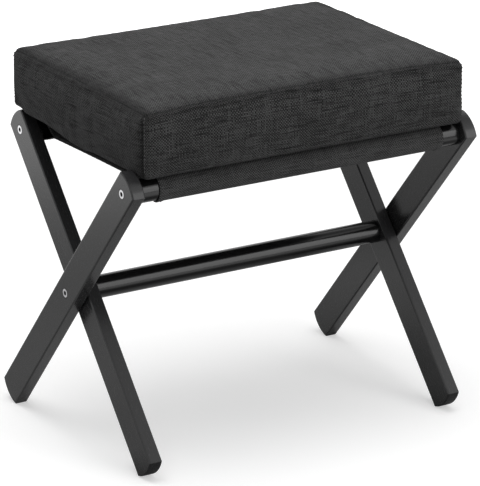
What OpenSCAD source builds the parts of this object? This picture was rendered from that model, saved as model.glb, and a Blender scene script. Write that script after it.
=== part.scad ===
// Folding footstool: two crossed pairs of timber legs on a common pivot, three round rods,
// a cloth sling hung on the two top rods and a box cushion lying on it.
// X runs along the rods, Y from the front to the rear and Z up. The floor is at Z = 0.

/* [Legs] */
// Width of the stool over the outer faces of the outer legs
stool_w = 420; // [340:1:520]
// Thickness of a leg, along the rods
leg_t = 15; // [12:0.5:20]
// Width of a leg, seen from the side
leg_w = 35; // [28:0.5:42]
// Length of a leg between the crowns of its two ends
leg_len = 424; // [380:1:480]
// Radius of a leg's ends, seen from the side
leg_end_r = 35; // [26:0.5:60]
// Radius on the long edges and on the end edges of a leg
leg_edge_r = 1.75; // [0.5:0.25:3]
// Distance from the crown of a leg's top end to the screw there
top_screw_inset = 20; // [17:0.5:25]
// Angle between a leg and the floor
leg_angle = 48.75; // [42:0.25:55]

/* [Pivot] */
// Gap between an outer leg and the inner leg beside it
leg_gap = 1; // [0.8:0.1:2]
// Play between a pivot washer and the outer leg that turns on it
washer_play = 0.1; // [0.05:0.05:0.3]
// Outer diameter of a pivot washer
washer_d = 20; // [14:0.5:26]
// Clearance on the radius between a screw and the hole it passes through
running_fit = 0.05; // [0.02:0.01:0.1]

/* [Rods] */
// Diameter of the three rods
rod_d = 25; // [20:0.5:30]
// Chamfer round each end of a rod
rod_chamfer = 0.6; // [0.2:0.1:1.5]

/* [Screws] */
// Diameter of a screw's shank
screw_d = 6; // [5:0.5:7]
// Diameter of a countersunk head at its face
head_d = 11.3; // [9.5:0.1:13]
// Height of the straight rim above the cone of a head
head_rim = 0.4; // [0.2:0.1:0.8]
// Width across the flats of the hexagon socket
socket_af = 4; // [3:0.5:5]
// Depth of the hexagon socket
socket_depth = 2.6; // [1.5:0.1:3.5]
// Length of the screws at the leg tops, head included
top_screw_len = 30; // [26:1:34]
// Length of the two pivot screws, head included
pivot_screw_len = 45; // [40:1:50]
// Outer diameter of the threaded inserts in the rods
insert_d = 9; // [8:0.5:12]
// Diameter of the collar round an insert's outer end
insert_collar_d = 11; // [10:0.5:14]
// Thickness of the collar of an insert
insert_collar_t = 1.2; // [0.8:0.1:2]
// Length of a threaded insert
insert_len = 16; // [15:0.5:22]
// Depth of an insert's face below the end of its rod
insert_recess = 0.3; // [0.1:0.1:1]

/* [Sling] */
// Thickness of the sling's cloth
cloth_t = 1; // [0.8:0.1:2]
// Bare length of the front rod between each end of its sleeve and the leg there
front_bare = 22; // [6:0.5:50]
// Bare length of the rear rod between each end of its sleeve and the leg there
rear_bare = 9; // [6:0.5:50]
// Width of the hem at each end of a sleeve
hem_w = 8; // [5:0.5:14]
// Extra thickness of a hem
hem_t = 0.5; // [0.2:0.1:0.8]
// Gap between cloth and what lies beside it
soft_gap = 0.3; // [0.2:0.05:0.5]

/* [Grip strips] */
// Distance from each end of the front sleeve to the hook strip and the loop strip above it
strip_inset = 28; // [10:1:70]
// Width of the two strips
strip_w = 16; // [12:0.5:18]
// Thickness of one strip
strip_t = 0.9; // [0.6:0.1:1.4]

/* [Cushion] */
// Height of the cushion at its corners
cushion_h = 69.7; // [50:0.1:90]
// Rise of the top edges between two corners
edge_rise = 3.5; // [0:0.5:6]
// Rise of the middle of the top above the corners
crown_h = 7.7; // [4:0.1:16]
// Reach of the cushion's front beyond the front rod's axis
front_reach = 20.7; // [18:0.1:26]
// Reach of the cushion's rear beyond the rear rod's axis
rear_reach = 15.7; // [14:0.1:24]
// Gap between the cushion's corners and the outer legs
side_gap = 0.6; // [0.4:0.1:3]
// Radius of the cushion's four upright corners, larger than that of the top edges
corner_r = 12; // [12:0.5:20]
// Radius of the cushion's top edges
edge_r = 11; // [8:0.5:11.5]
// Radius of the cushion's bottom edges
under_edge_r = 7; // [5:0.5:11]
// Outward swell of a side, half way between corners and half way up
side_swell = 3.4; // [1:0.1:5]
// Inward pull of the top and bottom seams half way between corners
seam_pull = 1.2; // [0.5:0.1:2.5]
// Thickness of the cushion's cover, lining included
cover_t = 1.4; // [1:0.1:2]
// Full reach, in front of the rear rod, of the hollows pressed in by the inner legs' tops
hollow_reach = 10; // [8:0.5:16]
// Length over which each hollow runs out towards the front
hollow_run = 17; // [14:0.5:30]
// Reach of each hollow beyond the inner leg's inner face
hollow_side = 4; // [3:0.5:8]
// Width over which each hollow runs out towards the middle
hollow_fade = 9; // [6:0.5:16]

/* [Hidden] */
$fn = 64;
// Overrun of every cut beyond the faces it opens
cut = 1;

// Places of the leg faces across the stool
outer_x = stool_w / 2;
outer_in_x = outer_x - leg_t;
inner_x = outer_in_x - leg_gap;
inner_in_x = inner_x - leg_t;

// A leg from its middle, where the pivot is: centre of an end's arc, its corners and the screw
end_centre = leg_len / 2 - leg_end_r;
end_corner = end_centre + sqrt(pow(leg_end_r, 2) - pow(leg_w / 2, 2));
screw_at = leg_len / 2 - top_screw_inset;

// The stool stands on the lower corners of its legs' feet
pivot_z = end_corner * sin(leg_angle) + leg_w / 2 * cos(leg_angle);
rod_y = screw_at * cos(leg_angle);
rod_z = pivot_z + screw_at * sin(leg_angle);
top_corner_z = 2 * pivot_z;
lean = 90 - leg_angle;

rod_r = rod_d / 2;
front_sleeve_len = 2 * (outer_in_x - front_bare);
rear_sleeve_len = 2 * (inner_in_x - rear_bare);
strip_len = front_sleeve_len - 2 * strip_inset;
sleeve_in_r = rod_r + soft_gap;
sleeve_r = sleeve_in_r + cloth_t;
hem_r = sleeve_r + hem_t;
washer_t = leg_gap - washer_play;
head_cone = (head_d - screw_d) / 2;

// The two plies of the web lie face to face at the height of the rods' axes, and stop beside the hems
web_start = hem_r + soft_gap;

// The cushion, its underside and the hollows over the inner legs' tops
under_z = rod_z + sleeve_r + soft_gap + 2 * strip_t;
corner_top_z = under_z + cushion_h;
cushion_half_w = outer_in_x - side_gap;
cushion_front_y = -rod_y - front_reach;
cushion_rear_y = rod_y + rear_reach;
cushion_mid = [0, (cushion_front_y + cushion_rear_y) / 2];
hollow_h = max(0, top_corner_z + soft_gap - under_z);
hollow_full_x = inner_in_x - hollow_side;
hollow_full_y = rod_y - hollow_reach;

// Steps of the cushion's mesh round a corner and round an edge
corner_steps = 3;
edge_steps = 3;
// Places of the mesh's columns as shares of the rear or front side, and of the left side from its
// rear on, where the hollow runs out; the right side's are counted from the front
end_shares = [0.125, 0.25, 0.375, 0.5, 0.625, 0.75, 0.875];
left_shares = [0.042, 0.108, 0.33, 0.56, 0.78];
right_shares = [for (i = [len(left_shares) - 1 : -1 : 0]) 1 - left_shares[i]];
side_shares = [end_shares, left_shares, end_shares, right_shares];
// Rings inside the underside's and the top's edge, as shares of the way out from the middle
under_shares = [0.5, 0.895, 0.95];
crown_shares = [0.88, 0.65, 0.35];
// Share of the side swell that is reached where an edge's round ends
swell_share = 0.5;

wood_colour = "#2a2a2b";
rod_colour = "#1f1f20";
steel_colour = "#c9cacc";
insert_colour = "#b7a776";
washer_colour = "#18181a";
sling_colour = "#333334";
strip_colour = "#222223";
cover_colour = "#424244";
foam_colour = "#d9cfa4";

// A cylinder along X that starts at x and is long enough to reach x + len
module bar_x(r, x, len) {
  translate([x, 0, 0]) rotate([0, 90, 0]) cylinder(r = r, h = len);
}

// Section of a leg with its four rounded long edges
module leg_section() {
  square([leg_t - 2 * leg_edge_r, leg_w], center = true);
  square([leg_t, leg_w - 2 * leg_edge_r], center = true);
  for (sx = [-1, 1], sy = [-1, 1])
    translate([sx * (leg_t / 2 - leg_edge_r), sy * (leg_w / 2 - leg_edge_r)])
      circle(r = leg_edge_r);
}

// Disc with a rounded rim that shapes one end of a leg
module end_disc() {
  rotate([0, 90, 0]) rotate_extrude($fn = 128) {
    translate([0, -leg_t / 2]) square([leg_end_r - leg_edge_r, leg_t]);
    translate([0, leg_edge_r - leg_t / 2]) square([leg_end_r, leg_t - 2 * leg_edge_r]);
    for (sy = [-1, 1])
      translate([leg_end_r - leg_edge_r, sy * (leg_t / 2 - leg_edge_r)]) circle(r = leg_edge_r);
  }
}

// Undrilled leg, upright, with the pivot at its middle
module leg_blank() {
  intersection() {
    translate([0, 0, -leg_len / 2 - cut]) linear_extrude(leg_len + 2 * cut) leg_section();
    union() {
      cube([leg_t, leg_w + 2 * cut, 2 * end_centre], center = true);
      for (s = [-1, 1]) translate([0, 0, s * end_centre]) end_disc();
    }
  }
}

// Hole for a screw through a leg, with the seat of its head in the face on the +X side
module screw_hole(countersunk) {
  r = screw_d / 2 + running_fit;
  seat_r = head_d / 2 + running_fit;
  bar_x(r, -leg_t / 2 - cut, leg_t + 2 * cut);
  if (countersunk) {
    rim_x = leg_t / 2 - head_rim;
    bar_x(seat_r, rim_x, head_rim + cut);
    translate([rim_x - head_cone, 0, 0]) rotate([0, 90, 0])
      cylinder(r1 = r, r2 = seat_r, h = head_cone);
  }
}

// Right-hand leg, drilled for its top screw and for the pivot screw
module drilled_leg(pivot_countersunk) {
  difference() {
    leg_blank();
    translate([0, 0, screw_at]) screw_hole(true);
    screw_hole(pivot_countersunk);
  }
}

// Sets an upright leg into the stool: side is 1 on the right, tilt turns it about the pivot
module place_leg(side, x_out, tilt) {
  mirror([side > 0 ? 0 : 1, 0, 0])
    translate([x_out - leg_t / 2, 0, pivot_z]) rotate([tilt, 0, 0]) children();
}

module outer_leg(side) {
  color(wood_colour) place_leg(side, outer_x, lean) drilled_leg(true);
}

module inner_leg(side) {
  color(wood_colour) place_leg(side, inner_x, -lean) drilled_leg(false);
}

module outer_leg_left() outer_leg(-1);
module outer_leg_right() outer_leg(1);
module inner_leg_left() inner_leg(-1);
module inner_leg_right() inner_leg(1);

// Rod centred on X = 0, bored at both ends for its threaded inserts
module rod(half_len) {
  collar_r = insert_collar_d / 2 + running_fit;
  collar_depth = insert_recess + insert_collar_t;
  hole_r = insert_d / 2 + running_fit;
  color(rod_colour) difference() {
    union() {
      bar_x(rod_r, rod_chamfer - half_len, 2 * (half_len - rod_chamfer));
      for (s = [0, 1]) mirror([s, 0, 0]) translate([half_len - rod_chamfer, 0, 0])
        rotate([0, 90, 0]) cylinder(r1 = rod_r, r2 = rod_r - rod_chamfer, h = rod_chamfer);
    }
    for (s = [0, 1]) mirror([s, 0, 0]) {
      bar_x(collar_r, half_len - collar_depth, collar_depth + cut);
      bar_x(hole_r, half_len - insert_recess - insert_len, insert_len + cut);
    }
  }
}

module front_rod() translate([0, -rod_y, rod_z]) rod(outer_in_x);
module rear_rod() translate([0, rod_y, rod_z]) rod(inner_in_x);
module pivot_rod() translate([0, 0, pivot_z]) rod(inner_in_x);

// Countersunk screw along X with the face of its head at x_face, pointing inwards
module screw(x_face, len) {
  rim_x = x_face - head_rim;
  socket_r = socket_af / 2 / cos(30);
  color(steel_colour) difference() {
    union() {
      bar_x(head_d / 2, rim_x, head_rim);
      translate([rim_x - head_cone, 0, 0]) rotate([0, 90, 0])
        cylinder(r1 = screw_d / 2, r2 = head_d / 2, h = head_cone);
      bar_x(screw_d / 2, x_face - len, len - head_rim - head_cone);
    }
    translate([x_face - socket_depth, 0, 0]) rotate([0, 90, 0])
      cylinder(r = socket_r, h = socket_depth + cut, $fn = 6);
  }
}

module sided(side, y, z) {
  mirror([side > 0 ? 0 : 1, 0, 0]) translate([0, y, z]) children();
}

module front_screw(side) sided(side, -rod_y, rod_z) screw(outer_x, top_screw_len);
module rear_screw(side) sided(side, rod_y, rod_z) screw(inner_x, top_screw_len);
module pivot_screw(side) sided(side, 0, pivot_z) screw(outer_x, pivot_screw_len);

module front_screw_left() front_screw(-1);
module front_screw_right() front_screw(1);
module rear_screw_left() rear_screw(-1);
module rear_screw_right() rear_screw(1);
module pivot_screw_left() pivot_screw(-1);
module pivot_screw_right() pivot_screw(1);

// Threaded insert along X, its collar just below the rod's end at x_end
module insert(x_end) {
  x_face = x_end - insert_recess;
  color(insert_colour) difference() {
    union() {
      bar_x(insert_collar_d / 2, x_face - insert_collar_t, insert_collar_t);
      bar_x(insert_d / 2, x_face - insert_len, insert_len - insert_collar_t);
    }
    bar_x(screw_d / 2 + running_fit, x_face - insert_len - cut, insert_len + 2 * cut);
  }
}

module front_insert_left() sided(-1, -rod_y, rod_z) insert(outer_in_x);
module front_insert_right() sided(1, -rod_y, rod_z) insert(outer_in_x);
module rear_insert_left() sided(-1, rod_y, rod_z) insert(inner_in_x);
module rear_insert_right() sided(1, rod_y, rod_z) insert(inner_in_x);
module pivot_insert_left() sided(-1, 0, pivot_z) insert(inner_in_x);
module pivot_insert_right() sided(1, 0, pivot_z) insert(inner_in_x);

// Washer that keeps an outer and an inner leg apart at the pivot
module pivot_washer(side) {
  color(washer_colour) sided(side, 0, pivot_z) difference() {
    bar_x(washer_d / 2, inner_x, washer_t);
    bar_x(screw_d / 2 + running_fit, inner_x - cut, washer_t + 2 * cut);
  }
}

module pivot_washer_left() pivot_washer(-1);
module pivot_washer_right() pivot_washer(1);

// Cloth tube round a rod, with a thicker hem at each end
module sleeve(len) {
  color(sling_colour) difference() {
    union() {
      bar_x(sleeve_r, -len / 2, len);
      for (s = [0, 1]) mirror([s, 0, 0]) bar_x(hem_r, len / 2 - hem_w, hem_w);
    }
    bar_x(sleeve_in_r, -len / 2 - cut, len + 2 * cut);
  }
}

module front_sleeve() translate([0, -rod_y, rod_z]) sleeve(front_sleeve_len);
module rear_sleeve() translate([0, rod_y, rod_z]) sleeve(rear_sleeve_len);

// One ply of the taut cloth between the sleeves, as wide as they are, with its lower face at z
module web(z) {
  front_half = front_sleeve_len / 2;
  rear_half = rear_sleeve_len / 2;
  front_y = web_start - rod_y;
  rear_y = rod_y - web_start;
  color(sling_colour) translate([0, 0, z]) linear_extrude(cloth_t)
    polygon([[-front_half, front_y], [front_half, front_y], [rear_half, rear_y], [-rear_half, rear_y]]);
}

module seat_web() web(rod_z);
module under_web() web(rod_z - cloth_t);

// Flat strip under the cushion's front, tangent to the turn about the front rod
module strip(z) {
  color(strip_colour) translate([-strip_len / 2, -rod_y - strip_w / 2, z])
    cube([strip_len, strip_w, strip_t]);
}

module loop_strip() strip(under_z - 2 * strip_t);
module hook_strip() strip(under_z - strip_t);

function smooth_step(t) = let (c = min(1, max(0, t))) c * c * (3 - 2 * c);

// Height of the hollow that an inner leg's top presses into the underside at a place p
function hollow(p) =
  hollow_h
  * smooth_step((abs(p[0]) - hollow_full_x + hollow_fade) / hollow_fade)
  * smooth_step((p[1] - hollow_full_y + hollow_run) / hollow_run);

// The cushion's outline: centre of the corner round or the place beside it, direction, swell weight
corner_sx = [1, -1, -1, 1];
corner_sy = [1, 1, -1, -1];
function corner_place(q) = [
  corner_sx[q % 4] * (cushion_half_w - corner_r),
  corner_sy[q % 4] > 0 ? cushion_rear_y - corner_r : cushion_front_y + corner_r
];
outline = [
  for (q = [0 : 3]) each concat(
    [for (i = [0 : corner_steps]) [corner_place(q), 90 * (q + i / corner_steps), 0]],
    [for (f = side_shares[q])
      [(1 - f) * corner_place(q) + f * corner_place(q + 1), 90 * (q + 1), sin(180 * f)]]
  )
];
round_count = len(outline);

// Rings from the underside's middle to the top's: inset, outward push at mid side, share of the
// way out, share of the height and rise above that height, on a block grown by g on all sides
function rings(g) = let (e = edge_r + g, low_e = under_edge_r + g) concat(
  [for (s = under_shares) [low_e, -seam_pull, s, 0, 0]],
  [for (i = [0 : edge_steps])
    let (a = 90 * i / edge_steps)
    [low_e * (1 - sin(a)), -seam_pull + (seam_pull + swell_share * side_swell) * (1 - cos(a)),
     1, 0, low_e * (1 - cos(a))]],
  [[0, side_swell, 1, 1 / 2, 0]],
  [for (i = [0 : edge_steps])
    let (a = 90 * i / edge_steps)
    [e * (1 - cos(a)), swell_share * side_swell - (seam_pull + swell_share * side_swell) * sin(a),
     1, 1, -e * (1 - sin(a))]],
  [for (s = crown_shares) [e, -seam_pull, s, 1, 0]]
);

function block_point(o, r, g) = let (
  out = corner_r + g - r[0] + r[1] * o[2],
  p = o[0] + out * [cos(o[1]), sin(o[1])],
  q = cushion_mid + r[2] * (p - cushion_mid),
  low = under_z + hollow(q) - g,
  high = corner_top_z + edge_rise * o[2] * pow(r[2], 2) + crown_h * (1 - pow(r[2], 2)) + g
) [q[0], q[1], low + (high - low) * r[3] + r[4]];

// Soft block with a crown, swelling sides, drawn-in seams and the two hollows, grown by g
module soft_block(g) {
  all_rings = rings(g);
  n = round_count;
  last = len(all_rings) - 1;
  low_mid = (last + 1) * n;
  points = concat(
    [for (r = all_rings) each [for (o = outline) block_point(o, r, g)]],
    [[cushion_mid[0], cushion_mid[1], under_z - g]],
    [[cushion_mid[0], cushion_mid[1], corner_top_z + crown_h + g]]
  );
  sides = [for (i = [0 : last - 1], k = [0 : n - 1])
    let (a = i * n + k, b = i * n + (k + 1) % n)
    each [[a, a + n, b + n], [a, b + n, b]]];
  low_fan = [for (k = [0 : n - 1]) [low_mid, k, (k + 1) % n]];
  top_fan = [for (k = [0 : n - 1]) [last * n + k, low_mid + 1, last * n + (k + 1) % n]];
  polyhedron(points, concat(sides, low_fan, top_fan));
}

module cushion_cover() {
  color(cover_colour) difference() {
    soft_block(0);
    soft_block(-cover_t);
  }
}

module foam_core() {
  color(foam_colour) soft_block(-cover_t - soft_gap);
}

outer_leg_left();
outer_leg_right();
inner_leg_left();
inner_leg_right();
front_rod();
rear_rod();
pivot_rod();
front_screw_left();
front_screw_right();
rear_screw_left();
rear_screw_right();
pivot_screw_left();
pivot_screw_right();
front_insert_left();
front_insert_right();
rear_insert_left();
rear_insert_right();
pivot_insert_left();
pivot_insert_right();
pivot_washer_left();
pivot_washer_right();
front_sleeve();
rear_sleeve();
seat_web();
under_web();
loop_strip();
hook_strip();
cushion_cover();
foam_core();
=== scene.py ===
"""Folding footstool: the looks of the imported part. Metres, +Z up, +Y from the front to the rear."""

import functools
import math

import bpy
import numpy as np
from mathutils import Matrix, Vector


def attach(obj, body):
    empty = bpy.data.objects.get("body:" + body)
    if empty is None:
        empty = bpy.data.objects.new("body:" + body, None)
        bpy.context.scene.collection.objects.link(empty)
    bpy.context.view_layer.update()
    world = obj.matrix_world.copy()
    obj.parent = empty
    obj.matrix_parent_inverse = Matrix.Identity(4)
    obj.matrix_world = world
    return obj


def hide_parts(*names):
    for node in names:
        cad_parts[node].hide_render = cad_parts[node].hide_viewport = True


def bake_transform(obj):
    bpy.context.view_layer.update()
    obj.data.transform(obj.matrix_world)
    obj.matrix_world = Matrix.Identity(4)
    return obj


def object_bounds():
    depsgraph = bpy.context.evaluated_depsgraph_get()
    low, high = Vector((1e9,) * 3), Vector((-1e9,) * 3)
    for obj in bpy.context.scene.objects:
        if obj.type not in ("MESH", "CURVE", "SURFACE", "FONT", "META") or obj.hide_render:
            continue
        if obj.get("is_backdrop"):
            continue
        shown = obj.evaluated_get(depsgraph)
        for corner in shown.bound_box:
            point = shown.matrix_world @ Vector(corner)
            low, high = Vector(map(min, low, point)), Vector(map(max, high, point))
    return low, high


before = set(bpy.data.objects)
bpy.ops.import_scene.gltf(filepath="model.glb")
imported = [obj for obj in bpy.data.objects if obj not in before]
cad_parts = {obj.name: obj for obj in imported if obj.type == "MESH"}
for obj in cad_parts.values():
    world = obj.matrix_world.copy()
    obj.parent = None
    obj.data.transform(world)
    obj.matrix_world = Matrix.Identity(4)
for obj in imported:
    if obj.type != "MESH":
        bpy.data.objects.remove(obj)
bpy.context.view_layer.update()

# Sizes of the frame, as part.scad has them. The top rods lie at ROD_Z, the front one at -ROD_Y
PIVOT_Z = 0.167403
ROD_Y = 0.126594
ROD_Z = 0.311756
LEG_LEAN = math.radians(90 - 48.75)     # of a leg, from upright
SLEEVE_IN, SLEEVE_OUT = 0.0128, 0.0138  # radii of the sling's sleeves
FRONT_HALF, REAR_HALF = 0.173, 0.170    # half the sleeves' widths

# The cushion's block, as part.scad has it
UNDER_Z, CUSHION_TOP = 0.327656, 0.3963
FRONT_Y, REAR_Y = -0.147294, 0.142294
HALF_W = 0.1944
TOP_R, LOW_R = 0.0080, 0.0065           # rounding of the top's and the underside's edges
TOP_RXY, LOW_RXY = 0.0090, 0.0075       # rounding of the upright edges, at the top and below
MID_Y = (FRONT_Y + REAR_Y) / 2
HALF_D = (REAR_Y - FRONT_Y) / 2
MID_Z = (UNDER_Z + CUSHION_TOP) / 2

WEAVE_MAP = "weave"                     # UV map in metres, for cloth and tape
SEAM_AND_SHADE_MARK = "seam"                      # attribute: how dark the cover is marked at its seams, and the painted shade beside them
STITCH_STEP = 0.0042                    # from one stitch to the next


# ---------------------------------------------------------------- node helpers

class Tree:
    """A material's or the world's nodes, with short calls for the usual ones."""

    def __init__(self, tree):
        self.tree = tree
        tree.nodes.clear()

    def put(self, node, socket, value):
        """Links a value to a node's input, or sets it there if it is a constant."""
        if isinstance(value, bpy.types.NodeSocket):
            self.tree.links.new(value, node.inputs[socket])
        else:
            node.inputs[socket].default_value = value

    def add(self, kind, **inputs):
        node = self.tree.nodes.new("ShaderNode" + kind)
        for name, value in inputs.items():
            self.put(node, name.replace("_", " "), value)
        return node

    def math(self, operation, a, b=0.0, c=0.0, clamp=False):
        node = self.add("Math")
        node.operation, node.use_clamp = operation, clamp
        for i, value in enumerate((a, b, c)):
            self.put(node, i, value)
        return node.outputs[0]

    def total(self, *values):
        return functools.reduce(lambda a, b: self.math("ADD", a, b), values)

    def product(self, *values):
        return functools.reduce(lambda a, b: self.math("MULTIPLY", a, b), values)

    def sine(self, value, factor):
        return self.math("SINE", self.product(value, factor))

    def distance(self, a, b):
        return self.math("SQRT", self.total(self.product(a, a), self.product(b, b)))

    def mix(self, factor, a, b):
        """Mixes two numbers."""
        node = self.add("Mix")
        for i, value in ((0, factor), (2, a), (3, b)):
            self.put(node, i, value)
        return node.outputs[0]

    def tint(self, factor, a, b, blend="MIX"):
        """Mixes two colours."""
        node = self.add("Mix")
        node.data_type, node.blend_type = "RGBA", blend
        for i, value in ((0, factor), (6, a), (7, b)):
            self.put(node, i, value)
        return node.outputs[2]

    def colour(self, tone, blue=1.0):
        """The colour of a grey tone whose blue is that much stronger."""
        return self.add("CombineColor", Red=tone, Green=tone,
                        Blue=self.product(tone, blue)).outputs[0]

    def place(self):
        """Where a point lies on its own object."""
        return self.add("TexCoord").outputs["Object"]

    def weave_place(self):
        """Where a point lies on the flat cloth."""
        node = self.add("UVMap")
        node.uv_map = WEAVE_MAP
        return node.outputs[0]

    def vector(self, x=0.0, y=0.0, z=0.0):
        return self.add("CombineXYZ", X=x, Y=y, Z=z).outputs[0]

    def split(self, vector):
        return self.add("SeparateXYZ", Vector=vector).outputs

    def turned(self, vector, angle=(0, 0, 0), scale=(1, 1, 1)):
        node = self.add("Mapping", Vector=vector, Rotation=angle, Scale=scale)
        return node.outputs[0]

    def noise(self, vector, scale, detail=2.0, roughness=0.5, dimensions="3D"):
        node = self.add("TexNoise", Vector=vector, Scale=scale, Detail=detail, Roughness=roughness)
        node.noise_dimensions = dimensions
        return node.outputs["Fac"]

    def streaks(self, vector, scales, detail=2.0, roughness=0.5):
        """A noise with a scale of its own along each axis, in cells per metre."""
        return self.noise(self.turned(vector, scale=scales), 1.0, detail, roughness)

    def span(self, value, low, high, to_low=0.0, to_high=1.0):
        """Maps low and high to two other numbers, with no overshoot."""
        node = self.add("MapRange", Value=value, From_Min=low, From_Max=high,
                        To_Min=to_low, To_Max=to_high)
        return node.outputs[0]

    def vary(self, noise, low, high, reach=0.2):
        """A number between low and high that follows a noise up to reach from its mean, 0.5."""
        return self.span(noise, 0.5 - reach, 0.5 + reach, low, high)

    def swing(self, noise, gain):
        """A noise about 0 instead of 0.5, times gain."""
        return self.product(self.math("SUBTRACT", noise, 0.5), gain)

    def fade(self, mask, end):
        """A factor from 1 where a mask is 0 to end where it is 1."""
        return self.span(mask, 0.0, 1.0, 1.0, end)

    def outer_edge_mask(self, radius):
        """From 0 on a face to 1 on an outer edge: where varnish is rubbed smooth, and where the
        timber carries painted shade.
        """
        bevel = self.add("Bevel", Radius=radius)
        bevel.samples = 4
        dot = self.add("VectorMath")
        dot.operation = "DOT_PRODUCT"
        self.put(dot, 0, bevel.outputs[0])
        self.put(dot, 1, self.add("NewGeometry").outputs["Normal"])
        return self.span(dot.outputs["Value"], 0.995, 0.9)

    def bump(self, height, distance, strength):
        return self.add("Bump", Height=height, Distance=distance, Strength=strength).outputs[0]

    def mirrored(self, path):
        """1 for rays that the finishes mirror, 0 for all others."""
        return self.math("MAXIMUM", path["Is Glossy Ray"], path["Is Transmission Ray"])

    def shade(self, colour, roughness, normal, **constants):
        """The material's shader; constants are set on its own sockets."""
        shader = self.add("BsdfPrincipled", Base_Color=colour, Roughness=roughness, Normal=normal,
                          **constants)
        self.add("OutputMaterial", Surface=shader.outputs[0])


def material(name):
    made = bpy.data.materials.new(name)
    made.use_nodes = True
    return made, Tree(made.node_tree)


def grey(value):
    return (value, value, value, 1)


# ---------------------------------------------------------------- materials

BLACK_BLUE = 1.03                       # the stain and the lacquer are a little bluish
# Radii over which a screw's socket and its rim, both darkened as painted shade, fade into its bright
# face
SOCKET_EDGE, RIM_EDGE = (0.00225, 0.00270), (0.00490, 0.00445)
WEFT_CLOSER = 0.94                      # the weft's pitch, as a share of the warp's


def timber(name, angle):
    """Beech with a satin black stain and varnish. Its grain runs along a leg that leans by
    angle."""
    made, t = material(name)
    along = t.turned(t.place(), (angle, 0, 0))
    fibre = t.streaks(along, (900, 900, 26), 3.0, 0.6)
    pore = t.span(t.streaks(along, (2600, 2600, 150), 1.0), 0.62, 0.72)
    broad = t.streaks(along, (60, 60, 7))
    worn_and_shaded_edges = t.outer_edge_mask(0.0014)
    stain = t.total(t.vary(broad, 0.0205, 0.0240), t.vary(fibre, -0.0011, 0.0011, 0.15))
    # Darker along the edges as painted shade for the dark lines at the arrises; the varnish there is
    # rubbed smoother
    tone = t.product(stain, t.fade(pore, 0.78), t.fade(worn_and_shaded_edges, 0.55))
    rough = t.total(t.vary(fibre, 0.21, 0.25), t.product(pore, 0.07))
    rough = t.math("SUBTRACT", rough, t.product(worn_and_shaded_edges, 0.05))
    relief = t.math("SUBTRACT", t.product(fibre, 0.5), t.product(pore, 0.6))
    t.shade(t.colour(tone, BLACK_BLUE), rough, t.bump(relief, 0.000024, 0.5),
            Specular_IOR_Level=0.45)
    return made


def rod_lacquer(name):
    """Turned beech under a glossier black lacquer, its grain along X, with faint turning rings."""
    made, t = material(name)
    place = t.place()
    fibre = t.streaks(place, (22, 800, 800), 3.0, 0.6)
    rings = t.streaks(place, (900, 3, 3), 1.0)
    broad = t.streaks(place, (9, 40, 40))
    tone = t.total(t.vary(broad, 0.0050, 0.0070), t.vary(fibre, -0.0010, 0.0010, 0.15))
    relief = t.total(t.product(fibre, 0.6), t.product(rings, 0.25))
    t.shade(t.colour(tone, BLACK_BLUE), t.vary(fibre, 0.17, 0.22), t.bump(relief, 0.00004, 0.5),
            Specular_IOR_Level=0.55)
    return made


def screw_steel(name, axis_y, axis_z):
    """Bright zinc-plated steel, turned, so its fine marks run round the screw's axis, X. Its rim and
    its socket are darkened as painted shade, of the gap in the countersink and of the socket's
    hollow."""
    made, t = material(name)
    place = t.place()
    _, y, z = t.split(place)
    radius = t.distance(t.math("SUBTRACT", y, axis_y), t.math("SUBTRACT", z, axis_z))
    # Painted shade: dark in the socket and at the rim, bright on the face between
    bright = t.product(t.span(radius, *SOCKET_EDGE), t.span(radius, *RIM_EDGE))
    fine = t.streaks(place, (4000, 1500, 1500))
    tone = t.product(t.vary(t.noise(place, 260.0), 0.70, 0.80), t.span(bright, 0.0, 1.0, 0.03, 1.0))
    t.shade(t.colour(tone, 1.02), t.vary(fine, 0.24, 0.36), t.bump(fine, 0.00002, 0.4),
            Metallic=1.0)
    return made


def insert_brass(name):
    """Dull brass with fine ribs across its axis, X."""
    made, t = material(name)
    place = t.place()
    ribs = t.sine(t.split(place)[0], 5200.0)
    stain = t.noise(place, 300.0, 3.0)
    colour = t.tint(t.span(stain, 0.35, 0.7), (0.62, 0.47, 0.20, 1), (0.40, 0.29, 0.13, 1))
    t.shade(colour, t.vary(stain, 0.28, 0.42), t.bump(ribs, 0.00012, 0.8), Metallic=1.0)
    return made


def washer_plastic(name):
    made, t = material(name)
    skin = t.noise(t.place(), 2500.0)
    t.shade(t.tint(skin, grey(0.011), grey(0.016)), t.vary(skin, 0.5, 0.62),
            t.bump(skin, 0.00003, 0.5))
    return made


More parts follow.
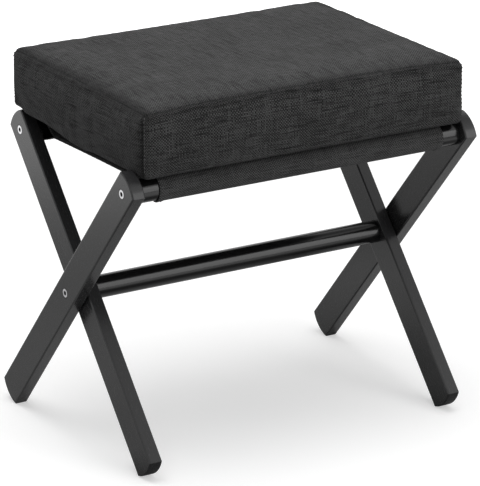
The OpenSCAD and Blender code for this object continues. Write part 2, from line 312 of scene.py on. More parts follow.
def weave(t, pitch, slub, heather, two_tone):
    """(height, tone, place) of a plain weave. pitch is the warp's, slub is how much threads vary,
    heather how mixed their tones are, and two_tone how much lighter the weft is than the warp."""
    flat = t.weave_place()
    x, y, _ = t.split(flat)
    # The place counted in threads, which wander a little
    wander = t.noise(flat, 90.0, dimensions="2D")
    u = t.total(t.math("DIVIDE", x, pitch), t.product(wander, 1.6 * slub))
    v = t.total(t.math("DIVIDE", y, WEFT_CLOSER * pitch), t.product(wander, 1.9 * slub))
    across, along = t.sine(u, math.pi), t.sine(v, math.pi)
    a, b = t.math("ABSOLUTE", across), t.math("ABSOLUTE", along)
    warp_up = t.math("GREATER_THAN", t.product(across, along), 0.0)
    warp = t.product(a, t.math("MULTIPLY_ADD", b, 0.5, 0.5))
    weft = t.product(b, t.math("MULTIPLY_ADD", a, 0.5, 0.5))
    height = t.mix(warp_up, weft, warp)
    # Each thread has a tone of its own, which changes slowly along it
    warp_place = t.vector(t.product(t.math("FLOOR", u), 3.7), t.product(v, 0.09))
    weft_place = t.vector(t.product(u, 0.06), t.product(t.math("FLOOR", v), 4.3))
    warp_tone, weft_tone = (t.noise(p, 1.0, 2.0, 0.6, "2D") for p in (warp_place, weft_place))
    fuzz = t.noise(flat, 3800.0, 1.0, dimensions="2D")
    slub_place = t.vector(t.product(x, 27.0), t.product(y, 980.0))
    slubs = t.noise(slub_place, 1.0, 2.0, 0.6, "2D")
    tone = t.total(t.swing(t.mix(warp_up, weft_tone, warp_tone), heather), t.swing(fuzz, 0.5),
                   t.swing(slubs, 2.3 * slub), t.mix(warp_up, two_tone, -two_tone))
    return height, tone, flat


def cloth(name, dark, light, pitch, slub, relief, heather, two_tone, seam_and_shade_tone=None):
    """A woven cloth between two colours; the last argument is what is left of its colour at its seams
    and under the painted shade beside them.
    """
    made, t = material(name)
    height, tone, flat = weave(t, pitch, slub, heather, two_tone)
    broad = t.noise(flat, 14.0, 3.0, dimensions="2D")
    level = t.math("ADD", t.total(t.product(tone, 1.5), 0.5), t.swing(broad, 0.5), clamp=True)
    shade = t.span(height, 0.0, 0.75, 0.42, 1.06)
    if seam_and_shade_tone is not None:
        # The seams are marked dark, and the strips beside them carry painted shade
        mark = t.add("Attribute")
        mark.attribute_name = SEAM_AND_SHADE_MARK
        shade = t.product(shade, t.span(mark.outputs["Fac"], 0.1, 0.8, 1.0, seam_and_shade_tone))
    colour = t.tint(1.0, t.tint(level, dark, light), t.colour(shade), "MULTIPLY")
    relief_height = t.total(height, t.product(tone, 0.5))
    t.shade(colour, t.span(tone, -0.4, 0.4, 0.86, 0.96), t.bump(relief_height, relief, 0.8),
            Specular_IOR_Level=0.12, Sheen_Weight=0.05, Sheen_Roughness=0.45,
            Sheen_Tint=(0.9, 0.9, 0.92, 1))
    return made


def tape(name, hooked):
    """Hook tape has rows of stiff hooks, loop tape a felted pile."""
    made, t = material(name)
    flat = t.weave_place()
    if hooked:
        x, y, _ = t.split(flat)
        height = t.product(*(t.math("ABSOLUTE", t.sine(w, 2400.0)) for w in (x, y)))
    else:
        height = t.noise(flat, 1400.0, 4.0, 0.7, "2D")
    # Darker where the hooks and the pile lie low: painted shade in the hollows
    t.shade(t.tint(height, grey(0.010), grey(0.022)), t.vary(height, 0.8, 0.95, 0.3),
            t.bump(height, 0.0003, 0.8), Sheen_Weight=0.1)
    return made


def thread(name, tone):
    made, t = material(name)
    twist = t.streaks(t.place(), (3000, 3000, 1200))
    t.shade(t.tint(twist, grey(tone * 0.75), grey(tone * 1.3)), t.vary(twist, 0.6, 0.75),
            t.bump(twist, 0.00008, 0.7))
    return made


# ---------------------------------------------------------------- mesh helpers

def mesh_object(name, points, faces, uvs=None):
    """A smooth object of these faces; uvs has a flat place for each corner of each face."""
    mesh = bpy.data.meshes.new(name)
    mesh.from_pydata([tuple(p) for p in points], [], faces)
    if uvs is not None:
        layer = mesh.uv_layers.new(name=WEAVE_MAP)
        layer.data.foreach_set("uv", np.asarray(uvs, np.float32).reshape(-1))
    mesh.polygons.foreach_set("use_smooth", [True] * len(mesh.polygons))
    mesh.update()
    made = bpy.data.objects.new(name, mesh)
    bpy.context.scene.collection.objects.link(made)
    return made


def point_rows(mesh, what="co"):
    """The mesh's points, or their normals, as rows of three numbers."""
    flat = np.empty(len(mesh.vertices) * 3, np.float32)
    mesh.vertices.foreach_get(what, flat)
    return flat.reshape(-1, 3).astype(float)


def set_points(mesh, rows):
    mesh.vertices.foreach_set("co", np.asarray(rows, np.float32).reshape(-1))
    mesh.update()


def apply_modifiers(obj):
    bpy.context.view_layer.update()
    graph = bpy.context.evaluated_depsgraph_get()
    made = bpy.data.meshes.new_from_object(obj.evaluated_get(graph),
                                           preserve_all_data_layers=True, depsgraph=graph)
    old = obj.data
    obj.modifiers.clear()
    obj.data = made
    bpy.data.meshes.remove(old)


def smooth_step(t):
    c = np.clip(t, 0.0, 1.0)
    return c * c * (3 - 2 * c)


def ramp(value, zero, length):
    """Smoothly from 0 at zero to 1 a length further; a negative length runs the other way."""
    return smooth_step((value - zero) / length)


def bell(value, width):
    """1 at 0, and near 0 beyond twice the width."""
    return np.exp(-(value / width) ** 2)


def unit(vector):
    return vector / np.linalg.norm(vector)


def is_at(values, *places):
    """Which of the values lie at one of these places."""
    return np.any([np.abs(values - place) < 1e-6 for place in places], 0)


def stitches(name, places, directions, outs, length=0.0027, width=0.00036):
    """One mesh of short raised threads. Each runs along its direction, is thickest in its middle
    and stands out of the cloth there, and its ends dip into the cloth."""
    sides, rings = 6, 5
    points, faces = [], []
    for p, d, o in zip(places, directions, outs):
        p, d, o = (np.asarray(v, float) for v in (p, d, o))
        d = unit(d)
        o = unit(o - d * (o @ d))
        s = np.cross(d, o)
        start = len(points)
        for i in range(rings):
            f = i / (rings - 1)
            swell = math.sin(math.pi * (0.12 + 0.76 * f))
            middle = p + d * (f - 0.5) * length + o * (swell - 0.62) * width * 1.5
            for k in range(sides):
                a = 2 * math.pi * k / sides
                around = s * math.cos(a) + o * math.sin(a)
                points.append(middle + around * width * (0.55 + 0.45 * swell))
        for i in range(rings - 1):
            for k in range(sides):
                a, b = start + i * sides + k, start + i * sides + (k + 1) % sides
                faces.append((a, b, b + sides, a + sides))
        faces.append(tuple(start + k for k in reversed(range(sides))))
        faces.append(tuple(start + (rings - 1) * sides + k for k in range(sides)))
    return mesh_object(name, points, faces)


# ---------------------------------------------------------------- cushion

GRID_STEP, GRID_STEP_Z = 0.0062, 0.0060  # of the cover's even quads
EDGE_ROWS = 4                            # short steps through each rounded edge
PANEL_SHIFT = 1.3                        # between the panels on the flat cloth

# The cover's form
REAR_RISE = 0.0014                      # the top stands higher towards the rear
END_SWELL, FRONT_SWELL = 0.0036, 0.0026  # of the left and right panels, of the front and rear ones
SEAM_DRAW = 0.0009                      # a side is drawn in that far along its seams
PRESSED_X, PRESSED_Y = (0.16, 0.02), (0.104, 0.012)  # ramps to where the inner legs' tops press in
PRESSED_SHARPER = 0.0035                # and how much smaller the lower edge's rounding is there

# Places along a side and how far its lower edge is lifted there: it sags beside the sling's
# middle, and the inner legs' tops press it up at the rear
EDGE_LIFT = np.array([
    (-0.148, -0.0003), (-0.085, -0.0009), (-0.031, -0.0016), (-0.009, -0.0037),
    (0.0145, -0.0032), (0.030, -0.0016), (0.044, 0.0), (0.058, 0.0015),
    (0.068, 0.0024), (0.080, 0.0029), (0.098, 0.0029), (0.107, 0.0028),
    (0.1155, 0.0042), (0.1205, 0.0073), (0.130, 0.0077), (0.143, 0.0090),
])

# The cloth simulation, which gives the cover its own unevenness
CLOTH_FRAMES = 20
PRESSURE = 4.0
BLOWN_FROM = 0.55                       # share of crown and swelling that it starts from
SEAM_HELD, UNDER_HELD = 0.9, 0.97       # how firmly seams and underside are held
PUFF_CAP = 0.005                        # the most that a point moves
DRIFT_CAP, DRIFT_KEPT = 0.0022, 0.8     # the most unevenness, and the share of it that is kept

# Depth of the upright seams, of those round the top, and of those round the underside
UPRIGHT_DEPTH, TOP_DEPTH, LOW_DEPTH = 0.0011, 0.0007, 0.0005
# How dark they are marked, from 0 to 1, and the painted shade in the strip beside each upright seam
UPRIGHT_MARK, TOP_MARK, LOW_MARK, BESIDE_PAINTED_SHADE = 1.0, 0.80, 0.45, 0.42
BESIDE_REACH = 0.0150
# Strips of painted shade along the upper seams: how dark, where each ends, and its fade
TOP_PAINTED_SHADE = (0.32, 0.026, 0.018)        # on the top, all round
END_PAINTED_SHADE = (0.66, 0.018, 0.013)        # on the top, at the left and the right
SIDE_PAINTED_SHADE = (0.46, 0.0115, 0.0060)     # on the sides


def stations(low, high, edge, step):
    """Places from low to high: short steps through each rounded edge, even steps between."""
    count = max(2, round((high - low - 2 * edge) / step))
    inner = np.linspace(low + edge, high - edge, count + 1)
    lead = np.linspace(0, edge, EDGE_ROWS + 1)[:-1]
    return np.concatenate([low + lead, inner, high - lead[::-1]])


def box_surface(xs, ys, zs):
    """Quads on the six faces of a block, with shared points, and each corner's flat place on its
    own panel."""
    index, points, faces, uvs = {}, [], [], []

    def at(p):
        key = tuple(round(c, 7) for c in p)
        if key not in index:
            index[key] = len(points)
            points.append(p)
        return index[key]

    def panel(number, us, vs, place, flip, turned=False):
        for u0, u1 in zip(us, us[1:]):
            for v0, v1 in zip(vs, vs[1:]):
                quad = [(u0, v0), (u1, v0), (u1, v1), (u0, v1)]
                if flip:
                    quad.reverse()
                faces.append([at(place(*q)) for q in quad])
                flat = [(v, u) if turned else (u, v) for u, v in quad]
                uvs.extend((a + number * PANEL_SHIFT, b) for a, b in flat)

    x0, x1, y0, y1, z0, z1 = xs[0], xs[-1], ys[0], ys[-1], zs[0], zs[-1]
    # The top and the underside are cut with their weft from the front to the rear
    panel(0, xs, ys, lambda u, v: (u, v, z1), False, turned=True)
    panel(1, xs, ys, lambda u, v: (u, v, z0), True, turned=True)
    panel(2, xs, zs, lambda u, v: (u, y0, v), False)
    panel(3, xs, zs, lambda u, v: (u, y1, v), True)
    panel(4, ys, zs, lambda u, v: (x0, u, v), True)
    panel(5, ys, zs, lambda u, v: (x1, u, v), False)
    return np.array(points), faces, uvs


def lift(x, y):
    """How far the underside lies above the plane of the strips."""
    side = ramp(np.abs(x), 0.150, 0.022)
    return np.interp(y, *EDGE_LIFT.T) * side


def top_rise(u, v, share):
    """Rise of the top above CUSHION_TOP: the rear stands a little higher, and edges and middle
    are crowned. u and v run from -1 to 1 along X and Y, share is as in cushion_form."""
    along, across = 1 - np.abs(u) ** 6, 1 - v ** 4
    front = 0.0048 - 0.0026 * v
    crown = front * along + 0.0030 * across - 0.0010 * along * across
    return REAR_RISE * (1 + v) + share * crown


def cushion_form(p, share=1.0):
    """Moves the points of a plain block to the cushion's form: rounded edges, crown and swelling
    sides. share is how much of the crown and the swelling there is."""
    low, high = UNDER_Z, CUSHION_TOP
    f = (p[:, 2] - low) / (high - low)
    rxy = LOW_RXY + (TOP_RXY - LOW_RXY) * smooth_step(f)
    pressed = ramp(np.abs(p[:, 0]), *PRESSED_X) * ramp(p[:, 1], *PRESSED_Y)
    rz = np.where(f > 0.5, TOP_R, LOW_R - PRESSED_SHARPER * pressed)
    # Points in a rounding move from the shell of a cube to that of a ball
    reach = np.array([HALF_W, HALF_D]) - rxy[:, None]
    q = p[:, :2] - [0, MID_Y]
    inner = np.clip(q, -reach, reach)
    inner_z = np.clip(p[:, 2], low + rz, high - rz)
    away = np.concatenate([(q - inner) / rxy[:, None], ((p[:, 2] - inner_z) / rz)[:, None]], 1)
    most, size = np.abs(away).max(1), np.linalg.norm(away, axis=1)
    away *= (most / np.maximum(size, 1e-9))[:, None]
    x = inner[:, 0] + away[:, 0] * rxy
    y = inner[:, 1] + away[:, 1] * rxy
    z = inner_z + away[:, 2] * rz

    u, v = np.clip(x / HALF_W, -1, 1), np.clip(y / HALF_D, -1, 1)
    h = np.clip((z - low) / (high - low), 0, 1)
    belly = np.sin(np.pi * h)

    def pushed(own, other, swell):
        """A side is swollen at half height and drawn in along its seams, least at the corners."""
        out = (swell * belly * share - SEAM_DRAW * (1 - belly)) * (1 - np.abs(other) ** 2.5)
        return np.sign(own) * out * ramp(np.abs(own), 0.9, 0.1)

    x = x + pushed(u, v, END_SWELL)
    y = y + pushed(v, u, FRONT_SWELL)
    z = z + top_rise(u, v, share) * ramp(h, 0.3, 0.7)
    y = y + MID_Y
    z = z + lift(x, y) * ramp(h, 0.8, -0.8)
    return np.stack([x, y, z], 1)


def puff(obj, start, held):
    """Blows the closed cover up with Blender's cloth, and moves each point by at most PUFF_CAP
    from its start. Says how far the furthest one wanted to go."""
    group = obj.vertex_groups.new(name="held")
    for i, weight in enumerate(held):
        group.add([i], float(weight), "REPLACE")
    cloth_mod = obj.modifiers.new("cloth", "CLOTH")
    s = cloth_mod.settings
    s.quality, s.mass = 6, 0.25
    s.tension_stiffness = s.compression_stiffness = 18
    s.shear_stiffness, s.bending_stiffness = 6, 0.6
    s.use_pressure, s.uniform_pressure_force = True, PRESSURE
    s.vertex_group_mass, s.pin_stiffness = "held", 0.6
    s.effector_weights.gravity = 0
    s.shrink_min = -0.012
    cache = cloth_mod.point_cache
    cache.frame_start, cache.frame_end = 1, CLOTH_FRAMES
    scene = bpy.context.scene
    for number in range(1, CLOTH_FRAMES + 1):
        scene.frame_set(number)
    graph = bpy.context.evaluated_depsgraph_get()
    moved = point_rows(obj.evaluated_get(graph).data) - start
    size = np.linalg.norm(moved, axis=1)
    moved *= (PUFF_CAP * np.tanh(size / PUFF_CAP) / np.maximum(size, 1e-9))[:, None]
    obj.modifiers.clear()
    obj.vertex_groups.clear()
    scene.frame_set(1)
    set_points(obj.data, start + moved)
    return float(size.max())


def painted_shade_strip(distance, dark, end, fade):
    """How dark a strip of painted shade is, at a distance from its seam."""
    return dark * ramp(distance, end, -fade)


def make_cushion():
    """The cover as one closed piece over its foam, with its seams drawn in and marked dark, and
    strips of painted shade beside them.
    """
    block, faces, uvs = box_surface(stations(-HALF_W, HALF_W, TOP_RXY, GRID_STEP),
                                    stations(FRONT_Y, REAR_Y, TOP_RXY, GRID_STEP),
                                    stations(UNDER_Z, CUSHION_TOP, TOP_R, GRID_STEP_Z))
    x, y, z = block.T
    on_end, on_front = is_at(np.abs(x), HALF_W), is_at(y, FRONT_Y, REAR_Y)
    on_top, on_under = is_at(z, CUSHION_TOP), is_at(z, UNDER_Z)
    row = TOP_RXY / EDGE_ROWS
    from_end = HALF_W - np.abs(x)
    from_front = np.minimum(y - FRONT_Y, REAR_Y - y)
    # The upright seams run two rows beside the corners, on the left and right panels
    upright = on_end & is_at(from_front, 2 * row)
    seams = upright | ((on_end | on_front) & (on_top | on_under))

    form = cushion_form(block)
    start = cushion_form(block, BLOWN_FROM)
    made = mesh_object("cushion", start, faces, uvs)
    held = np.where(seams, SEAM_HELD, np.where(on_under, UNDER_HELD, 0.0))
    far = puff(made, start, held)
    print("cloth moved at most %.1f mm before the cap" % (far * 1000))
    # The blown cover keeps its own unevenness and takes the measured form's sizes
    drift = np.clip(point_rows(made.data) - form, -DRIFT_CAP, DRIFT_CAP)
    set_points(made.data, form + drift * DRIFT_KEPT)

    around = np.where(on_under, LOW_DEPTH, TOP_DEPTH)
    depth = np.where(upright, UPRIGHT_DEPTH, np.where(seams, around, 0.0))
    normals = point_rows(made.data, "normal")
    set_points(made.data, point_rows(made.data) - normals * depth[:, None])

    # Painted shade: the cover is darker in strips along its seams, one on the top, one on the sides
    # below it, and one beside each upright seam
    above = np.maximum(painted_shade_strip(np.minimum(from_front, from_end), *TOP_PAINTED_SHADE),
                       painted_shade_strip(from_end, *END_PAINTED_SHADE)) * on_top
    below = painted_shade_strip(CUSHION_TOP - z, *SIDE_PAINTED_SHADE) * (on_end | on_front)
    beside = on_end & (from_front > 2.5 * row) & (from_front < BESIDE_REACH)
    shade = np.where(beside, BESIDE_PAINTED_SHADE, np.maximum(below, above))
    shade = np.where(seams, np.where(z > MID_Z, TOP_MARK, LOW_MARK), shade)
    shade = np.where(upright, UPRIGHT_MARK, shade)
    mark = made.data.attributes.new(SEAM_AND_SHADE_MARK, "FLOAT", "POINT")
    mark.data.foreach_set("value", shade.astype(np.float32))

    finer = made.modifiers.new("finer", "SUBSURF")
    finer.levels = finer.render_levels = 1
    apply_modifiers(made)
    return made


def cushion_stitches(cushion):
    """Top stitches beside the four upright seams, on the left and right panels, laid on the
    finished cover."""
    inset, above = 0.0019, 0.00005
    places, ways, outs = [], [], []
    for sx in (-1, 1):
        for seam_y in (FRONT_Y + inset, REAR_Y - inset):
            for z in np.arange(UNDER_Z + 0.010, CUSHION_TOP - 0.004, STITCH_STEP):
                p = cushion_form(np.array([[sx * HALF_W, seam_y, z]]))[0]
                found, place, normal, _ = cushion.closest_point_on_mesh(Vector(p))
                if found:
                    places.append(np.array(place) + np.array(normal) * above)
                    ways.append((0, 0, 1))
                    outs.append(tuple(normal))
    return stitches("cushion_stitches", places, ways, outs, length=0.0022, width=0.00038)


# ---------------------------------------------------------------- sling

WEB_HALF = 0.00052                      # each ply's middle lies that far above or below the web's
PLY_HALF = (SLEEVE_OUT - SLEEVE_IN) / 2
SEAM_REACH = 0.031                      # from a rod's axis to the seam that closes its pocket
FRONT_LEAVES, REAR_LEAVES = 0.0012, -0.0040  # where the web meets each pocket, above the rods' axes
FRONT_SLACK, REAR_SLACK = 0.0002, 0.0010     # how far each pocket hangs off its rod, below
LOOP_STEPS, POCKET_STEPS, ACROSS_STEPS = 236, 41, 46
HEM = 0.0072                            # width of the turned hem along each side
HEM_ROW = 0.0058                        # from the edge to the hem's row of stitches
HEM_STEPS = (0.0, 0.0003, 0.0009, 0.0022, 0.0040, 0.0052, 0.0060, 0.0066, HEM, 0.0080, 0.0092)
SEAM_ROW = 0.0022                       # from a pocket's seam to each of its two rows of stitches
ROW_MARGIN = 0.009                      # those rows end that far from the sling's edges
ON_HEM, ON_PLY = 0.00046, 0.0001        # how far out of a ply the stitches' middles lie
LEVEL = 0.99                            # a ply is level where its outward Z is more than this
HEM_THICKER = 0.0006                    # a hem than a ply, on its outer side
HEM_DENT, SEAM_DENT = 0.00028, 0.00025  # how deep rows of stitches draw the cloth in
TENSION_RISE, TENSION_TURN = 0.00028, 260  # of the lines from sleeve to sleeve; radians per m
PUCKER_RISE, PUCKER_PITCH = 0.00016, 0.0106  # of the hems
SEAMS_Y = (-ROD_Y + SEAM_REACH, ROD_Y - SEAM_REACH)


def pocket(axis_y, seam, slack):
    """Middle line of a ply round a rod, on the far side from the seam that closes the pocket."""
    middle = (SLEEVE_IN + SLEEVE_OUT) / 2 + 0.0002
    way = seam - np.array([axis_y, ROD_Z])
    base = math.atan2(way[1], way[0])
    open_by = math.acos(middle / np.linalg.norm(way))
    out = []
    for a in np.linspace(open_by, 2 * math.pi - open_by, POCKET_STEPS):
        angle = base - a
        r = middle + slack * ramp(-math.sin(angle), 0.2, 0.7)
        out.append((axis_y + r * math.cos(angle), ROD_Z + r * math.sin(angle)))
    return np.array(out)


def sling_path():
    """The loop's middle line (y, z) with its outward directions, evenly stepped."""
    front_seam = np.array([SEAMS_Y[0], ROD_Z + FRONT_LEAVES])
    rear_seam = np.array([SEAMS_Y[1], ROD_Z + REAR_LEAVES])
    along = unit(rear_seam - front_seam)
    up = np.array([-along[1], along[0]]) * WEB_HALF
    corners = [front_seam + up, rear_seam + up, *pocket(ROD_Y, rear_seam, REAR_SLACK),
               rear_seam - up, front_seam - up, *pocket(-ROD_Y, front_seam, FRONT_SLACK)]
    line = np.array(corners + [corners[0]])
    run = np.concatenate([[0], np.cumsum(np.linalg.norm(np.diff(line, axis=0), axis=1))])
    at = np.arange(LOOP_STEPS) * run[-1] / LOOP_STEPS
    path = np.stack([np.interp(at, run, line[:, i]) for i in (0, 1)], 1)
    for _ in range(2):
        path = (np.roll(path, 1, 0) + 2 * path + np.roll(path, -1, 0)) / 4
    way = np.roll(path, -1, 0) - np.roll(path, 1, 0)
    way /= np.linalg.norm(way, axis=1)[:, None]
    return np.concatenate([path, np.stack([-way[:, 1], way[:, 0]], 1)], 1)


def along_web(y):
    """0 at the front rod, 1 at the rear rod."""
    return np.clip((y + ROD_Y) / (2 * ROD_Y), 0, 1)


def sling_half(y):
    """Half the sling's width at a place: it draws in a little between its two sleeves."""
    f = along_web(y)
    return FRONT_HALF + (REAR_HALF - FRONT_HALF) * f - 0.0010 * np.sin(np.pi * f)


def across_sling(half):
    """Places across the sling, with fine steps at the hems."""
    left = [-half + h for h in HEM_STEPS]
    right = [half - h for h in reversed(HEM_STEPS)]
    between = list(np.linspace(left[-1], right[0], ACROSS_STEPS))[1:-1]
    return np.array(left + between + right)


def sling_skins(path, half):
    """The points of the sling's outer and inner skins, one row across it for each step."""
    outer, inner = [], []
    for (y, z, oy, oz), half_here in zip(path, half):
        xs = across_sling(half_here)
        edge = half_here - np.abs(xs)
        level = abs(oz) > LEVEL
        flat_web = level and abs(y) < SEAMS_Y[1] + 0.004
        out = PLY_HALF + HEM_THICKER * ramp(edge, HEM, -0.0009)
        out = out - HEM_DENT * bell(edge - HEM_ROW, 0.0006)
        if flat_web:
            out = out - SEAM_DENT * bell(min(abs(y - at) for at in SEAMS_Y), 0.0014)
        # Taut cloth: faint tension lines run from sleeve to sleeve, and the hems pucker a little
        lines = TENSION_RISE * np.sin(xs * TENSION_TURN + 0.8)
        lines = lines * level * math.sin(math.pi * along_web(y))
        pucker = PUCKER_RISE * flat_web * math.sin(y * 2 * math.pi / PUCKER_PITCH)
        wave = (lines + pucker * bell(edge - 0.003, 0.003)) * np.sign(oz)
        rim = smooth_step(edge / 0.0007)
        for x, t_out, t_in in zip(xs, out * (0.3 + 0.7 * rim) + wave,
                                  PLY_HALF * (0.35 + 0.65 * rim) - wave):
            outer.append((x, y + oy * t_out, z + oz * t_out))
            inner.append((x, y - oy * t_in, z - oz * t_in))
    return outer, inner


def sling_faces(n, m, run):
    """The faces between n rows of m points on each skin, closed along both edges, with each
    corner's place on the flat sling."""
    across = across_sling(FRONT_HALF)
    base = n * m
    faces, uvs = [], []

    def corner(i, j):
        return (across[j], run[i])

    for i in range(n):
        here, there = i * m, (i + 1) % n * m
        for j in range(m - 1):
            a, b, c, d = here + j, here + j + 1, there + j + 1, there + j
            flat = [corner(i, j), corner(i, j + 1), corner(i + 1, j + 1), corner(i + 1, j)]
            faces += [(a, b, c, d), (base + d, base + c, base + b, base + a)]
            uvs += flat + flat[::-1]
        for j, flip in ((0, False), (m - 1, True)):
            a, d = here + j, there + j
            quad = [a, d, base + d, base + a]
            flat = [corner(i, j), corner(i + 1, j), corner(i + 1, j), corner(i, j)]
            if flip:
                quad, flat = quad[::-1], flat[::-1]
            faces.append(tuple(quad))
            uvs += flat
    return faces, uvs


def sew_sling(path, run, steps):
    """Stitches: one row along each hem, two across each pocket's seam, above and below."""
    n = len(path)
    hem_out = PLY_HALF + ON_HEM
    places, ways, outs = [], [], []
    for side in (-1, 1):
        for s in np.arange(0.002, run[-1], STITCH_STEP):
            i = int(np.searchsorted(run, s) - 1)
            here, there = path[i], path[(i + 1) % n]
            f = (s - run[i]) / steps[i]
            y, z, oy, oz = here * (1 - f) + there * f
            places.append((side * (sling_half(y) - HEM_ROW), y + oy * hem_out, z + oz * hem_out))
            ways.append((0, *(there - here)[:2]))
            outs.append((0, oy, oz))
    for i in range(n):
        y, z, oy, oz = path[i]
        next_y = path[(i + 1) % n][0]
        if abs(oz) < LEVEL or abs(next_y - y) >= 0.01:
            continue
        for at in (seam + row for seam in SEAMS_Y for row in (-SEAM_ROW, SEAM_ROW)):
            if (y - at) * (next_y - at) < 0:
                w = sling_half(y) - ROW_MARGIN
                for x in np.arange(-w, w, STITCH_STEP):
                    places.append((x, at, z + oz * (PLY_HALF + ON_PLY)))
                    ways.append((1, 0, 0))
                    outs.append((0, oy, oz))
    return stitches("sling_stitches", places, ways, outs)


def make_sling():
    """The sling's loop round both top rods and its stitches, with the loop's length and area."""
    path = sling_path()
    steps = np.linalg.norm(np.roll(path[:, :2], -1, 0) - path[:, :2], axis=1)
    run = np.concatenate([[0], np.cumsum(steps)])
    half = sling_half(path[:, 0])
    outer, inner = sling_skins(path, half)
    faces, uvs = sling_faces(len(path), len(outer) // len(path), run)
    made = mesh_object("sling", outer + inner, faces, uvs)
    return made, sew_sling(path, run, steps), float(run[-1]), 2 * float(np.sum(half * steps))


# ---------------------------------------------------------------- tapes

TAPE_L, TAPE_W, TAPE_T = 0.290, 0.016, 0.0009
# Half a tape's cross-section, as shares of its half width and thickness; the rest mirrors it
TAPE_HALF = [(-1, 0.35), (-0.985, 0.08), (-0.95, 0.0), (-0.5, 0.0), (0.0, 0.0), (0.5, 0.0),
             (0.95, 0.0), (0.985, 0.08), (1, 0.35)]
TAPE_PROFILE = TAPE_HALF + [(a, round(1 - b, 2)) for a, b in reversed(TAPE_HALF)]


def make_tape(name, z, mat):
    """A strip of hook or loop tape with softly rounded long edges."""
    half_w = TAPE_W / 2
    xs = np.linspace(-TAPE_L / 2, TAPE_L / 2, 59)
    m = len(TAPE_PROFILE)
    last = len(xs) - 1
    points = [(x, -ROD_Y + a * half_w, z + b * TAPE_T) for x in xs for a, b in TAPE_PROFILE]

    def flat(i, j):
        return (xs[i], TAPE_PROFILE[j][0] * half_w + TAPE_PROFILE[j][1] * TAPE_T)

    corners = [[(i, j), (i, (j + 1) % m), (i + 1, (j + 1) % m), (i + 1, j)]
               for i in range(last) for j in range(m)]
    corners += [[(0, j) for j in reversed(range(m))], [(last, j) for j in range(m)]]
    faces = [tuple(i * m + j for i, j in face) for face in corners]
    made = mesh_object(name, points, faces, [flat(i, j) for face in corners for i, j in face])
    made.data.materials.append(mat)
    return made


# ---------------------------------------------------------------- dress the frame

finishes = {
    "outer_leg": timber("timber_outer", -LEG_LEAN),
    "inner_leg": timber("timber_inner", LEG_LEAN),
    "_rod": rod_lacquer("rod_lacquer"),
    "front_screw": screw_steel("screw_steel_front", -ROD_Y, ROD_Z),
    "rear_screw": screw_steel("screw_steel_rear", ROD_Y, ROD_Z),
    "pivot_screw": screw_steel("screw_steel_pivot", 0.0, PIVOT_Z),
    "_insert": insert_brass("insert_brass"),
    "_washer": washer_plastic("washer_plastic"),
}
for name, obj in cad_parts.items():
    for part, mat in finishes.items():
        if part in name:
            for slot in obj.material_slots:
                slot.material = mat

cover = cloth("cover_cloth", grey(0.0125), grey(0.096), pitch=0.00162, slub=0.5, relief=0.00024,
              heather=1.6, two_tone=0.25, seam_and_shade_tone=0.42)
canvas = cloth("sling_canvas", grey(0.024), grey(0.116), pitch=0.00150, slub=0.4, relief=0.00018,
               heather=0.9, two_tone=0.24)

cushion = make_cushion()
cushion.data.materials.clear()
cushion.data.materials.append(cover)
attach(cushion, "cushion")
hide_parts("cushion_cover", "foam_core")
cover_stitches = cushion_stitches(cushion)
cover_stitches.data.materials.append(thread("cover_thread", 0.085))
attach(cover_stitches, "cushion")

sling, sling_stitches, loop_length, loop_area = make_sling()
sling.data.materials.append(canvas)
sling_stitches.data.materials.append(thread("sling_thread", 0.05))
for piece in (sling, sling_stitches):
    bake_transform(piece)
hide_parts("front_sleeve", "rear_sleeve", "seat_web", "under_web")

# The loop tape lies on the sling, the hook tape on the loop tape, under the cushion
tapes = (("loop_tape", UNDER_Z - 2 * TAPE_T, tape("loop_pile", False)),
         ("hook_tape", UNDER_Z - TAPE_T, tape("hook_rows", True)))
for name, low, mat in tapes:
    strip = make_tape(name, low, mat)
    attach(strip, "cushion")
    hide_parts(name.replace("tape", "strip"))


# ---------------------------------------------------------------- stage, lamps, camera

WHITE = grey(1.0)
FLOOR_HALF, FLOOR_LINES = 6.0, 9
SEEN_GLOW = 0.475                       # of the floor, for the camera
FLOOR_TONE, SEEN_PALER = 0.48, 0.188    # its own tone, and how much paler the camera sees it
AMBIENT = 0.304                         # what the studio's walls give to surfaces

# The camera, as it was fitted to the photograph; the angles are in degrees
PHOTO_LONG = 486                        # pixels along the photograph's longer side
FOCAL_PIXELS = 3167.5
OFF_CENTRE = (-0.8, -0.2)               # pixels
AZIMUTH, ELEVATION, ROLL = -31.03, 18.886, -0.145
CAMERA_PLACE = (-1.6679, -2.7827, 1.29575)
SENSOR = 36.0                           # mm

# Name, place, target, size in metres, power in watts, whether the varnish mirrors it, and
# whether it lights surfaces
LAMPS = (
    ("overhead_front", (0.25, -0.35, 2.6), (0, 0, 0.2), 2.0, 24.4, False, True),
    ("overhead_rear", (-0.35, 0.25, 2.6), (0, 0, 0.2), 1.8, 29.7, False, True),
    ("front_fill", (0.6, -2.3, 1.3), (0, 0, 0.2), 1.4, 13.9, False, True),
    ("front_panel", (1.1, -1.85, 0.85), (0, 0, 0.25), 1.6, 15.5, True, False),
)


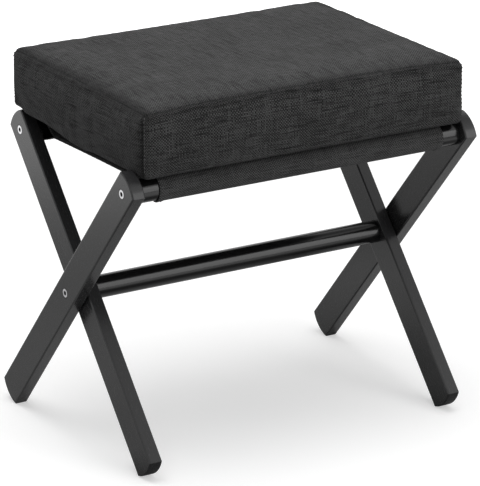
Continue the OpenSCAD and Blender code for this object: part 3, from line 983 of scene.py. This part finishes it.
def make_floor():
    """A pale floor for the camera, and for the varnish's reflections a floor with painted light and
    shade on it.
    """
    line = np.linspace(-FLOOR_HALF, FLOOR_HALF, FLOOR_LINES)
    points = [(x, y, 0.0) for y in line for x in line]
    faces = [(k, k + 1, k + FLOOR_LINES + 1, k + FLOOR_LINES)
             for j in range(FLOOR_LINES - 1)
             for k in range(j * FLOOR_LINES, (j + 1) * FLOOR_LINES - 1)]
    made = mesh_object("floor", points, faces)
    mat, t = material("floor_pale")
    path = t.add("LightPath").outputs
    seen, mirrored = path["Is Camera Ray"], t.mirrored(path)
    x, y, _ = t.split(t.place())
    away = t.distance(x, y)
    # The camera sees one pale floor, white further out
    seen_glow = t.span(away, 0.9, 1.6, SEEN_GLOW, 1.0)
    # Painted light and shade that only reflections see: a glow, paler further out behind, a dim
    # glowing patch below the stool's left half, a glowing strip in front, and painted shade over all
    # of it to the right
    right = t.span(x, 0.45, 0.90, 1.0, 0.40)
    far = t.math("POWER", t.span(away, 0.25, 1.10), 5.4)
    behind = t.product(far, t.span(y, -0.10, -0.02, 0.15, 0.98))
    left_rear = t.product(t.span(y, -0.11, -0.05, 0.0, 0.22), t.span(x, 0.02, 0.16, 1.0, 0.0))
    inside = t.product(t.span(x, -0.24, -0.17), t.span(away, 0.30, 0.42, 1.0, 0.0))
    below = t.product(left_rear, inside)
    strip = t.span(y, -0.32, -0.50, 0.0, 0.9)
    mirrored_glow = t.product(t.total(behind, below, strip), right)
    # Painted shade for reflections: the floor's tone is darker in front of the stool, paler under its
    # right half and darker far to the right
    near_shade = t.product(t.span(y, -0.16, -0.06, 0.19, 0.60), t.span(x, -0.05, 0.25, 1.0, 1.22))
    mirrored_shade = t.product(near_shade, t.span(y, 0.22, 0.45, 0.9, 0.82), right)

    strength = t.total(t.product(seen, seen_glow), t.product(mirrored, mirrored_glow))
    glow = t.add("Emission", Color=WHITE, Strength=strength)
    seen_shade = t.math("MULTIPLY_ADD", seen, SEEN_PALER, FLOOR_TONE)
    body = t.add("BsdfDiffuse", Color=t.colour(t.mix(mirrored, seen_shade, mirrored_shade)))
    both = t.add("AddShader")
    t.put(both, 0, glow.outputs[0])
    t.put(both, 1, body.outputs[0])
    t.add("OutputMaterial", Surface=both.outputs[0])
    made.data.materials.append(mat)
    made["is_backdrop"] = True


def make_world():
    """White for the camera, soft light for surfaces, and walls as the varnish mirrors them."""
    world = bpy.data.worlds.new("studio")
    bpy.context.scene.world = world
    world.use_nodes = True
    t = Tree(world.node_tree)
    path = t.add("LightPath").outputs
    # The mirrored walls have a darker ceiling, and are darker to the front and the right
    x, y, z = t.split(t.add("TexCoord").outputs["Generated"])
    walls = t.product(t.span(z, 0.77, 0.87, 1.0, 0.2),
                      t.product(t.span(x, 0.55, 0.80, 1.0, 0.4), t.span(y, -0.85, -0.60, 0.3, 1.0)))
    unseen = t.mix(t.mirrored(path), AMBIENT, walls)
    back = t.add("Background", Color=WHITE, Strength=t.mix(path["Is Camera Ray"], unseen, 1.0))
    t.add("OutputWorld", Surface=back.outputs[0])


def make_lamp(name, place, target, size, power, glossy, diffuse):
    data = bpy.data.lights.new(name, "AREA")
    data.shape, data.size, data.energy = "SQUARE", size, power
    made = bpy.data.objects.new(name, data)
    bpy.context.scene.collection.objects.link(made)
    made.location = place
    way = Vector(target) - Vector(place)
    made.rotation_euler = way.to_track_quat("-Z", "Y").to_euler()
    made.visible_camera, made.visible_glossy, made.visible_diffuse = False, glossy, diffuse


def make_camera():
    az, el, roll = (math.radians(angle) for angle in (AZIMUTH, ELEVATION, ROLL))
    level_right = Vector((math.cos(az), math.sin(az), 0))
    forward = Vector((-math.sin(az) * math.cos(el), math.cos(az) * math.cos(el), -math.sin(el)))
    level_up = level_right.cross(forward)
    right = level_right * math.cos(roll) + level_up * math.sin(roll)
    up = level_up * math.cos(roll) - level_right * math.sin(roll)
    data = bpy.data.cameras.new("camera")
    data.sensor_width, data.lens = SENSOR, FOCAL_PIXELS * SENSOR / PHOTO_LONG
    data.shift_x, data.shift_y = (pixels / PHOTO_LONG for pixels in OFF_CENTRE)
    data.clip_end = 60
    made = bpy.data.objects.new("camera", data)
    bpy.context.scene.collection.objects.link(made)
    turn = Matrix((right, up, -forward)).transposed().to_4x4()
    made.matrix_world = Matrix.Translation(CAMERA_PLACE) @ turn
    bpy.context.scene.camera = made


make_floor()
make_world()
for lamp in LAMPS:
    make_lamp(*lamp)
make_camera()
bpy.context.scene.view_settings.view_transform = "Standard"

low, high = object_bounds()
